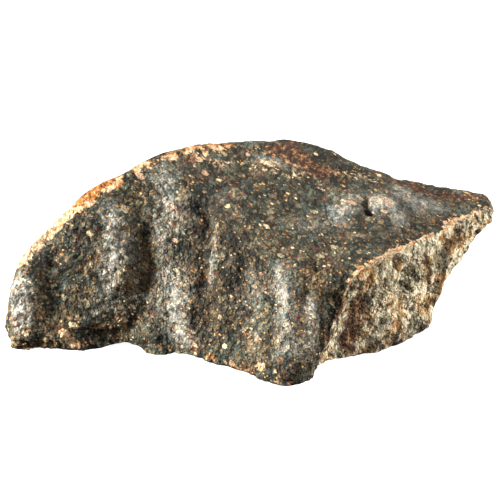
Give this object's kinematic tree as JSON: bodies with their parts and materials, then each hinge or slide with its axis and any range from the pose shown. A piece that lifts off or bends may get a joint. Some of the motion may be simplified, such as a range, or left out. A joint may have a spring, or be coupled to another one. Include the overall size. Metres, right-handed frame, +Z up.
{
  "type": "meteorite",
  "caption": "Dark speckled stony meteorite with a sloping top, a jutting toe at the front, a low pointed tail and a lighter broken face between them.",
  "frame": {"origin": "middle of the stone's footprint box, on the surface it rests on", "axes": "+X along its length towards the pointed tail, +Y towards its back, +Z up as it rests"},
  "size_m": [0.102, 0.061, 0.036],
  "materials": {
    "stone": "weathered, satin grey-green to brown skin crowded with tan, rust and cream grains, lighter and rougher on the broken face"
  },
  "bodies": {
    "root": {"meteorite": "stone"}
  },
  "joints": []
}
